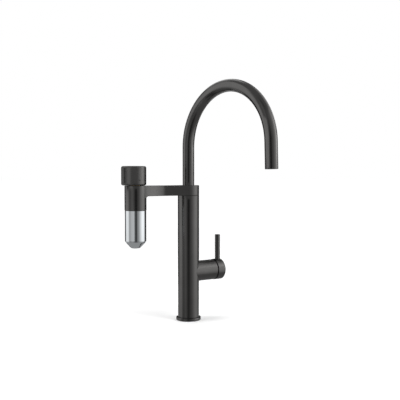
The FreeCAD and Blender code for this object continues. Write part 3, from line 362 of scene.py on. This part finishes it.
class TapStudio(bpy.types.PropertyGroup):
    """Camera and light of the studio"""
    camera_place: FloatVectorProperty(
        name="Camera Place", description="Where the camera stands", subtype="TRANSLATION", size=3,
        unit="LENGTH", default=(-0.7119, -1.0566, 0.2845))
    camera_heading: FloatProperty(
        name="Camera Heading", description="Direction of view, anticlockwise from +X", subtype="ANGLE",
        unit="ROTATION", default=math.radians(55.0))
    camera_drop: FloatProperty(
        name="Camera Drop", description="How far the view points below the horizon", subtype="ANGLE",
        unit="ROTATION", default=math.radians(2.1))
    lens: FloatProperty(
        name="Lens", description="Focal length in millimetres", min=10.0, max=200.0, default=57.96)
    floor: FloatVectorProperty(
        name="Floor", description="Colour of the pale floor", subtype="COLOR", size=3,
        min=0.0, max=1.0, default=(0.8, 0.8, 0.8))
    ambient: FloatProperty(
        name="Ambient", description="Strength of the even light from all round",
        min=0.0, max=1.0, default=0.35)
    key_power: FloatProperty(
        name="Key Power", description="Power of the large lamp on the right", unit="POWER",
        min=0.0, max=500.0, default=26.0)
    fill_power: FloatProperty(
        name="Fill Power", description="Power of the lamps on the left and above", unit="POWER",
        min=0.0, max=500.0, default=16.0)
    roof: FloatProperty(
        name="Roof", description="How bright the studio's roof shows in the metal",
        min=0.0, max=1.0, default=0.3)
    table: FloatProperty(
        name="Table", description="How bright the ground shows in the metal",
        min=0.0, max=1.0, default=0.27)


class TAP_OT_coated_metal(bpy.types.Operator):
    """Give the outer metal pieces their satin gunmetal coating"""
    bl_idname = "tap.coated_metal"
    bl_label = "Coated Metal"

    def execute(self, context):
        finishes = context.scene.tap_finishes
        colour, rough = finishes.coating, finishes.coating_roughness
        upright = metal_finish("Gunmetal turned upright", colour, rough, turned(UPRIGHT))
        dress(upright, "base_flange", "column_tube", "filter_arm", "lever_rod")
        matt = metal_finish("Gunmetal matt", colour, finishes.knob_roughness, turned(UPRIGHT))
        dress(matt, "knob_shell")
        sideways = metal_finish("Gunmetal turned sideways", colour, rough, turned(SIDEWAYS))
        dress(sideways, "barrel_sleeve", "handle_cap")
        bent = metal_finish("Gunmetal bent tube", colour, rough, EVEN)
        dress(bent, "spout_tube")
        return {"FINISHED"}


class TAP_OT_capsule_steel(bpy.types.Operator):
    """Give the filter capsule its bright drawn steel"""
    bl_idname = "tap.capsule_steel"
    bl_label = "Capsule Steel"

    def execute(self, context):
        finishes = context.scene.tap_finishes
        drawn = metal_finish("Drawn capsule steel", finishes.steel, finishes.steel_roughness,
                             turned(UPRIGHT), strength=0.05, clouding=0.03)
        dress(drawn, "capsule_cup")
        return {"FINISHED"}


class TAP_OT_water_ways(bpy.types.Operator):
    """Give the brass bodies and copper pipes inside the tap their finish"""
    bl_idname = "tap.water_ways"
    bl_label = "Water Ways"

    def execute(self, context):
        finishes = context.scene.tap_finishes
        upright = metal_finish("Brass turned upright", finishes.brass, BRASS_ROUGHNESS,
                               turned(UPRIGHT))
        dress(upright, "inlet_block", "valve_body", "spout_tailpiece", "headwork_body",
              "headwork_spindle")
        sideways = metal_finish("Brass turned sideways", finishes.brass, BRASS_ROUGHNESS,
                                turned(SIDEWAYS))
        dress(sideways, "cartridge_holder", "cartridge_nut", "lever_stem")
        pipe = metal_finish("Drawn copper", finishes.copper, roughness=0.3,
                            stretch=drawn_out(UPRIGHT), clouding=0.15)
        dress(pipe, "hot_pipe", "cold_pipe", "mixed_riser", "filter_feed_pipe")
        return {"FINISHED"}


class TAP_OT_fasteners(bpy.types.Operator):
    """Give the screws, pins and the battery their plain steel"""
    bl_idname = "tap.fasteners"
    bl_label = "Fasteners"

    def execute(self, context):
        plain = metal_finish("Plain screw steel", SCREW_STEEL, roughness=0.3, stretch=EVEN)
        dress(plain, "arm_lock_screw", "handle_screw", "swivel_stop_pin", "cross_pin", "knob_screw")
        plated = metal_finish("Plated cell", PLATED_STEEL, roughness=0.2, stretch=turned(UPRIGHT),
                              strength=0.05)
        dress(plated, "coin_cell")
        return {"FINISHED"}


class TAP_OT_seals(bpy.types.Operator):
    """Give the seals their matt rubber"""
    bl_idname = "tap.seals"
    bl_label = "Seals"

    def execute(self, context):
        rubber = moulded_finish("Seal rubber", context.scene.tap_finishes.rubber, roughness=0.62,
                                grain=0.0003, strength=0.4)
        dress(rubber, "deck_seal", "port_seals", "spout_seals", "aerator_seal", "headwork_seal",
              "nozzle_seal", "capsule_seal")
        return {"FINISHED"}


class TAP_OT_plastics(bpy.types.Operator):
    """Give the moulded plastic and ceramic pieces their finish"""
    bl_idname = "tap.plastics"
    bl_label = "Plastics and Ceramics"

    def execute(self, context):
        finishes = context.scene.tap_finishes
        dark = moulded_finish("Dark moulded plastic", finishes.dark_plastic, roughness=0.42)
        dress(dark, "aerator_housing", "knob_base", "knob_insert", "capsule_collar", "disc_carrier")
        # The ring is a real dark plastic piece, but its extra darkness is painted shade for the gap
        # between barrel and cap.
        ring = [part * RING_PAINTED_SHADE for part in finishes.dark_plastic]
        matt = moulded_finish("Matt ring plastic", ring, roughness=0.9, specular_ior_level=0.1)
        dress(matt, "handle_ring")
        pale = moulded_finish("Pale moulded plastic", finishes.pale_plastic, roughness=0.4)
        dress(pale, "cartridge_base", "cartridge_housing", "spindle_guide", "lower_bush", "upper_bush",
              "filtered_tube", "aerator_screen", "filter_top_cap", "filter_bottom_cap")
        fired = moulded_finish("Lapped ceramic", CERAMIC, roughness=0.12, height=0.000004,
                               strength=0.1, coat_weight=0.3)
        dress(fired, "fixed_disc", "moving_disc", "headwork_fixed_disc", "headwork_moving_disc")
        return {"FINISHED"}


class TAP_OT_filter_media(bpy.types.Operator):
    """Give the carbon block and its fleece their finish"""
    bl_idname = "tap.filter_media"
    bl_label = "Filter Media"

    def execute(self, context):
        carbon = granular_finish("Pressed carbon", CARBON, roughness=0.9, grain=0.0009, height=0.0002)
        dress(carbon, "carbon_block")
        fleece = granular_finish("Filter fleece", FLEECE, roughness=0.95, grain=0.0005, height=0.0001)
        dress(fleece, "fleece_wrap")
        return {"FINISHED"}


class TAP_OT_indicator(bpy.types.Operator):
    """Give the indicator's lens and board their finish"""
    bl_idname = "tap.indicator"
    bl_label = "Indicator"

    def execute(self, context):
        lens = moulded_finish("Smoked lens", SMOKED_LENS, roughness=0.12, height=0.000003,
                              strength=0.05, coat_weight=0.5)
        dress(lens, "indicator_lens")
        board = moulded_finish("Board lacquer", BOARD_LACQUER, roughness=0.3)
        dress(board, "indicator_board")
        return {"FINISHED"}


class TAP_OT_capsule_thread(bpy.types.Operator):
    """Model the capsule's collar with its screw thread"""
    bl_idname = "tap.capsule_thread"
    bl_label = "Capsule Thread"

    def execute(self, context):
        sizes = context.scene.tap_thread
        low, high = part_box("capsule_collar")
        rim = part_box("capsule_cup")[1].z
        seal_low, seal_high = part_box("capsule_seal")
        axis_x = (low.x + high.x) / 2
        skirt_r = (high.x - low.x) / 2
        crest_r = (seal_high.x - seal_low.x) / 2
        root_r = crest_r - sizes.depth
        bore_r = min(math.hypot(vert.co.x - axis_x, vert.co.y)
                     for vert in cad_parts["capsule_collar"].data.vertices)
        collar = self.turned_core(sizes.sides, ((skirt_r, low.z), (skirt_r, rim), (root_r, rim),
                                                (root_r, high.z), (bore_r, high.z), (bore_r, low.z)))
        ridge = self.helical_ridge(sizes, root_r, crest_r, rim, high.z)
        clear_selection()
        collar.select_set(True)
        context.view_layer.objects.active = collar
        union = collar.modifiers.new("Thread", "BOOLEAN")
        union.operation, union.object = "UNION", ridge
        bpy.ops.object.modifier_apply(modifier=union.name)
        bpy.data.objects.remove(ridge)
        collar.location = (axis_x, 0.0, 0.0)
        bpy.ops.object.transform_apply(location=True)
        bpy.ops.object.shade_smooth_by_angle(angle=SMOOTH_ANGLE)
        collar.name = "threaded_collar"
        collar.data.materials.append(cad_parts["capsule_collar"].data.materials[0])
        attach(collar, "capsule_cup")
        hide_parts("capsule_collar")
        return {"FINISHED"}

    def turned_core(self, sides, profile):
        """Ring shape drawn up from its lowest outer circle, point by point, and closed below."""
        clear_selection()
        (radius, z), rest = profile[0], profile[1:]
        bpy.ops.mesh.primitive_circle_add(vertices=sides, radius=radius, location=(0, 0, 0))
        core = bpy.context.object
        bpy.ops.object.mode_set(mode="EDIT")
        bpy.ops.mesh.select_all(action="SELECT")
        bpy.ops.transform.translate(value=(0, 0, z))
        for next_radius, next_z in rest:
            bpy.ops.mesh.extrude_region_move(TRANSFORM_OT_translate={"value": (0, 0, next_z - z)})
            share = next_radius / radius
            bpy.ops.transform.resize(value=(share, share, 1), center_override=(0, 0, next_z))
            radius, z = next_radius, next_z
        bpy.ops.mesh.select_all(action="SELECT")
        bpy.ops.mesh.remove_doubles(threshold=MERGE_DISTANCE)
        bpy.ops.mesh.select_all(action="DESELECT")
        bpy.ops.mesh.select_mode(type="EDGE")
        bpy.ops.mesh.select_non_manifold()
        bpy.ops.mesh.bridge_edge_loops()
        bpy.ops.mesh.select_all(action="SELECT")
        bpy.ops.mesh.normals_make_consistent(inside=False)
        bpy.ops.object.mode_set(mode="OBJECT")
        return core

    def helical_ridge(self, sizes, root_r, crest_r, low, high):
        """Ridge of the thread, swept up from one section, with ends that run out into the core."""
        clear_selection()
        sunk_r = root_r - SUNK_SHARE * sizes.depth
        rise = sizes.turns * sizes.lead
        start = (low + high - rise) / 2
        middle = (sunk_r + crest_r) / 2
        width = crest_r - sunk_r
        height = sizes.crest + 2 * width * math.tan(FLANK_ANGLE)
        bpy.ops.mesh.primitive_plane_add(size=1.0, rotation=(math.pi / 2, 0, 0))
        ridge = bpy.context.object
        bpy.ops.object.transform_apply(rotation=True)
        bpy.ops.object.mode_set(mode="EDIT")
        bpy.ops.mesh.select_all(action="SELECT")
        bpy.ops.transform.resize(value=(width, 1, height), center_override=(0, 0, 0))
        bpy.ops.transform.translate(value=(middle, 0, start))
        bpy.ops.mesh.delete(type="ONLY_FACE")
        edit_verts(ridge, lambda point: point.x > middle)
        bpy.ops.transform.resize(value=(1, 1, sizes.crest / height), center_override=(0, 0, start))
        bpy.ops.object.mode_set(mode="OBJECT")
        sweep = ridge.modifiers.new("Sweep", "SCREW")
        sweep.axis, sweep.angle, sweep.iterations = "Z", math.tau, sizes.turns
        sweep.screw_offset, sweep.steps, sweep.render_steps = sizes.lead, sizes.sides, sizes.sides
        bpy.ops.object.modifier_apply(modifier=sweep.name)
        bpy.ops.object.mode_set(mode="EDIT")
        bpy.ops.mesh.select_all(action="SELECT")
        bpy.ops.mesh.remove_doubles(threshold=MERGE_DISTANCE)
        bpy.ops.mesh.fill_holes(sides=4)
        bpy.ops.mesh.normals_make_consistent(inside=False)
        half = height / 2 + sizes.lead / sizes.sides

        def at_end(point):
            near = min(abs(point.z - start), abs(point.z - start - rise)) < half
            return near and abs(point.y) < PLANE_DISTANCE and point.x > middle
        edit_verts(ridge, at_end)
        bpy.ops.transform.translate(value=(END_SHARE * sizes.depth - width, 0, 0))
        bpy.ops.object.mode_set(mode="OBJECT")
        return ridge


class TAP_OT_studio(bpy.types.Operator):
    """Set the floor, studio walls, lamps and camera"""
    bl_idname = "tap.studio"
    bl_label = "Studio"

    def execute(self, context):
        studio = context.scene.tap_studio
        self.daylight(context.scene, studio)
        self.floor(studio)
        self.cards(studio)
        self.lamps(studio)
        self.camera(context.scene, studio)
        context.scene.view_settings.view_transform = "Standard"
        return {"FINISHED"}

    def seen_ray(self, tree):
        """1 for rays that show the background: straight from the camera, mirrored or through glass."""
        path = tree.nodes.new("ShaderNodeLightPath")
        seen = path.outputs["Is Camera Ray"]
        for label in ("Is Glossy Ray", "Is Transmission Ray"):
            either = tree.nodes.new("ShaderNodeMath")
            either.operation = "MAXIMUM"
            tree.links.new(seen, either.inputs[0])
            tree.links.new(path.outputs[label], either.inputs[1])
            seen = either.outputs["Value"]
        return seen

    def daylight(self, scene, studio):
        """White all round where it is seen, and a plain even light where it only lights."""
        world = bpy.data.worlds.new("Studio white")
        scene.world = world
        world.use_nodes = True
        tree = world.node_tree
        level = map_range(tree, self.seen_ray(tree), 0.0, 1.0, studio.ambient, 1.0)
        tree.links.new(level, tree.nodes["Background"].inputs["Strength"])
        tree.nodes["Background"].inputs["Color"].default_value = WHITE

    def floor(self, studio):
        """Pale floor that keeps the tap's shadow and runs into the white behind it."""
        clear_selection()
        bpy.ops.mesh.primitive_plane_add(size=FLOOR_SIZE)
        ground = bpy.context.object
        ground.name = "studio_floor"
        material, tree, shader = new_finish("Pale floor", roughness=0.9, specular_ior_level=0.0)
        cloud = pattern(tree, "ShaderNodeTexNoise", FLOOR_CLOUD)
        dark, light = tone(studio.floor, 1 - FLOOR_CLOUDING), tone(studio.floor, 1 + FLOOR_CLOUDING)
        colour_from(tree, shader, cloud, dark, light)
        shader.inputs["Emission Color"].default_value = WHITE
        place = tree.nodes.new("ShaderNodeTexCoord")
        away = tree.nodes.new("ShaderNodeVectorMath")
        away.operation = "LENGTH"
        tree.links.new(place.outputs["Object"], away.inputs[0])
        lift = map_range(tree, away.outputs["Value"], FLOOR_NEAR, FLOOR_FAR,
                         FLOOR_NEAR_GLOW, FLOOR_FAR_GLOW)
        shown = tree.nodes.new("ShaderNodeMath")
        shown.operation = "MULTIPLY"
        tree.links.new(lift, shown.inputs[0])
        tree.links.new(self.seen_ray(tree), shown.inputs[1])
        tree.links.new(shown.outputs["Value"], shader.inputs["Emission Strength"])
        ground.data.materials.append(material)
        ground.visible_glossy = False

    def glow(self, name, strength):
        """Card that only glows: its material, node tree and glow."""
        material, tree, shader = new_finish(name)
        tree.nodes.remove(shader)
        light = tree.nodes.new("ShaderNodeEmission")
        light.inputs["Strength"].default_value = strength
        tree.links.new(light.outputs["Emission"], tree.nodes["Material Output"].inputs["Surface"])
        return material, tree, light

    def cards(self, studio):
        """Light and dark cards round, above and below the tap, which only show in its metal."""
        for card in (*self.room(studio), self.flag(), *self.glow_cards()):
            card.visible_camera = card.visible_diffuse = card.visible_shadow = False
            card.visible_transmission = card.visible_volume_scatter = False

    def room(self, studio):
        """The studio's round wall, its roof, and a table that stands for the ground."""
        clear_selection()
        bpy.ops.mesh.primitive_cylinder_add(
            vertices=STUDIO_SIDES, radius=STUDIO_RADIUS, depth=STUDIO_HEIGHT,
            end_fill_type="NOTHING", location=(0, 0, STUDIO_FOOT + STUDIO_HEIGHT / 2))
        wall = bpy.context.object
        wall.name = "studio_wall"
        wall.data.materials.append(self.wall_finish())
        made = [wall]
        for name, height, strength in (("studio_roof", STUDIO_FOOT + STUDIO_HEIGHT, studio.roof),
                                       ("studio_table", STUDIO_FOOT, studio.table)):
            clear_selection()
            bpy.ops.mesh.primitive_circle_add(vertices=STUDIO_SIDES, radius=STUDIO_RADIUS,
                                              fill_type="NGON", location=(0, 0, height))
            card = bpy.context.object
            card.name = name
            card.data.materials.append(self.glow(name.replace("_", " "), strength)[0])
            made.append(card)
        return made

    def flag(self):
        """The soft dark flag, which shades the middle of what the metal mirrors."""
        edges = FLAG_SHADE[0][0], FLAG_SHADE[-1][0]
        heights = FLAG_THINNING[0][0], FLAG_THINNING[-1][0]
        finish = self.flag_finish()
        return self.upright_card("studio_flag", Vector(), 0, FLAG_REACH, edges, heights, finish)

    def glow_cards(self):
        """The single glowing cards, each set before a piece."""
        made = []
        for index, (node, side, reach, edges, heights, level) in enumerate(GLOW_CARDS, 1):
            middle = sum(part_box(node), Vector()) / 2
            glow = self.glow(f"studio card {index}", level)[0]
            name = f"studio_card_{index}"
            made.append(self.upright_card(name, middle, side, reach, edges, heights, glow))
        return made

    def upright_card(self, name, middle, side, reach, edges, heights, material):
        """Flat upright card that faces a place from so many degrees to the right of the camera."""
        clear_selection()
        angle = math.radians(VIEW_SIDE + side)
        out = Vector((math.cos(angle), math.sin(angle), 0.0))
        right = Vector((-out.y, out.x, 0.0))
        spot = middle + reach * out + sum(edges) / 2 * right
        bpy.ops.mesh.primitive_plane_add(size=1.0, rotation=(math.pi / 2, 0, angle + math.pi / 2),
                                         location=(spot.x, spot.y, sum(heights) / 2))
        card = bpy.context.object
        card.name = name
        card.scale = (edges[1] - edges[0], heights[1] - heights[0], 1.0)
        card.data.materials.append(material)
        return card

    def flag_finish(self):
        """The flag's soft shade: dark in the middle and clear at both sides."""
        material, tree, shader = new_finish("studio flag")
        tree.nodes.remove(shader)
        veil = tree.nodes.new("ShaderNodeBsdfTransparent")
        place = tree.nodes.new("ShaderNodeTexCoord")
        parts = tree.nodes.new("ShaderNodeSeparateXYZ")
        across, upwards = grey_ramp(tree, FLAG_SHADE), grey_ramp(tree, FLAG_THINNING)
        clear = tree.nodes.new("ShaderNodeMixRGB")
        clear.inputs["Color2"].default_value = WHITE
        tree.links.new(place.outputs["Generated"], parts.inputs["Vector"])
        tree.links.new(parts.outputs["X"], across.inputs["Fac"])
        tree.links.new(parts.outputs["Y"], upwards.inputs["Fac"])
        tree.links.new(upwards.outputs["Color"], clear.inputs["Fac"])
        tree.links.new(across.outputs["Color"], clear.inputs["Color1"])
        tree.links.new(clear.outputs["Color"], veil.inputs["Color"])
        tree.links.new(veil.outputs["BSDF"], tree.nodes["Material Output"].inputs["Surface"])
        return material

    def wall_finish(self):
        """The wall's light and dark cards, one after the other round the tap."""
        material, tree, light = self.glow("studio wall", 1.0)
        place = tree.nodes.new("ShaderNodeTexCoord")
        turn = tree.nodes.new("ShaderNodeMapping")
        turn.inputs["Rotation"].default_value = (0, 0, math.radians(-VIEW_SIDE))
        sweep = tree.nodes.new("ShaderNodeTexGradient")
        sweep.gradient_type = "RADIAL"
        ramp = grey_ramp(tree, STUDIO_WALL)
        height = tree.nodes.new("ShaderNodeSeparateXYZ")
        tree.links.new(place.outputs["Object"], height.inputs["Vector"])
        middle = STUDIO_FOOT + STUDIO_HEIGHT / 2
        level = map_range(tree, height.outputs["Z"], STUDIO_FOOT - middle, -middle,
                          WALL_FOOT_GLOW, 1.0)
        tree.links.new(level, light.inputs["Strength"])
        tree.links.new(place.outputs["Object"], turn.inputs["Vector"])
        tree.links.new(turn.outputs["Vector"], sweep.inputs["Vector"])
        tree.links.new(sweep.outputs["Fac"], ramp.inputs["Fac"])
        tree.links.new(ramp.outputs["Color"], light.inputs["Color"])
        return material

    def lamps(self, studio):
        """Large soft lamps to the right, to the left and above."""
        for name, setting, side, reach, height, size in LAMPS:
            clear_selection()
            angle = math.radians(VIEW_SIDE + side)
            spot = Vector((reach * math.cos(angle), reach * math.sin(angle), height))
            facing = (LAMP_AIM - spot).to_track_quat("-Z", "Y").to_euler()
            bpy.ops.object.light_add(type="AREA", location=spot, rotation=facing)
            lamp = bpy.context.object
            lamp.name = name
            lamp.data.shape, lamp.data.size = "DISK", size
            lamp.data.energy = getattr(studio, setting)
            lamp.visible_glossy = False

    def camera(self, scene, studio):
        """Camera at the photographed view."""
        clear_selection()
        level = math.cos(studio.camera_drop)
        heading = studio.camera_heading
        look = Vector((level * math.cos(heading), level * math.sin(heading),
                       -math.sin(studio.camera_drop)))
        bpy.ops.object.camera_add(location=studio.camera_place,
                                  rotation=look.to_track_quat("-Z", "Y").to_euler())
        camera = bpy.context.object
        camera.data.lens = studio.lens
        camera.data.sensor_width = SENSOR_WIDTH
        scene.camera = camera


STEPS = (
    TAP_OT_coated_metal, TAP_OT_capsule_steel, TAP_OT_water_ways, TAP_OT_fasteners, TAP_OT_seals,
    TAP_OT_plastics, TAP_OT_filter_media, TAP_OT_indicator, TAP_OT_capsule_thread, TAP_OT_studio,
)


class TAP_PT_sidebar(bpy.types.Panel):
    """The tap's settings and steps"""
    bl_idname = "TAP_PT_sidebar"
    bl_label = "Filtered Water Tap"
    bl_space_type = "VIEW_3D"
    bl_region_type = "UI"
    bl_category = "Tap"

    def draw(self, context):
        for group in (context.scene.tap_finishes, context.scene.tap_thread, context.scene.tap_studio):
            box = self.layout.box()
            for name in group.__annotations__:
                box.prop(group, name)
        for step in STEPS:
            self.layout.operator(step.bl_idname)


CLASSES = (TapFinishes, TapThread, TapStudio, *STEPS, TAP_PT_sidebar)


def register():
    for cls in CLASSES:
        bpy.utils.register_class(cls)
    bpy.types.Scene.tap_finishes = PointerProperty(type=TapFinishes)
    bpy.types.Scene.tap_thread = PointerProperty(type=TapThread)
    bpy.types.Scene.tap_studio = PointerProperty(type=TapStudio)


def unregister():
    del bpy.types.Scene.tap_finishes, bpy.types.Scene.tap_thread, bpy.types.Scene.tap_studio
    for cls in reversed(CLASSES):
        bpy.utils.unregister_class(cls)


def main():
    register()
    bpy.ops.tap.coated_metal()
    bpy.ops.tap.capsule_steel()
    bpy.ops.tap.water_ways()
    bpy.ops.tap.fasteners()
    bpy.ops.tap.seals()
    bpy.ops.tap.plastics()
    bpy.ops.tap.filter_media()
    bpy.ops.tap.indicator()
    bpy.ops.tap.capsule_thread()
    bpy.ops.tap.studio()


if __name__ == "__main__":
    main()
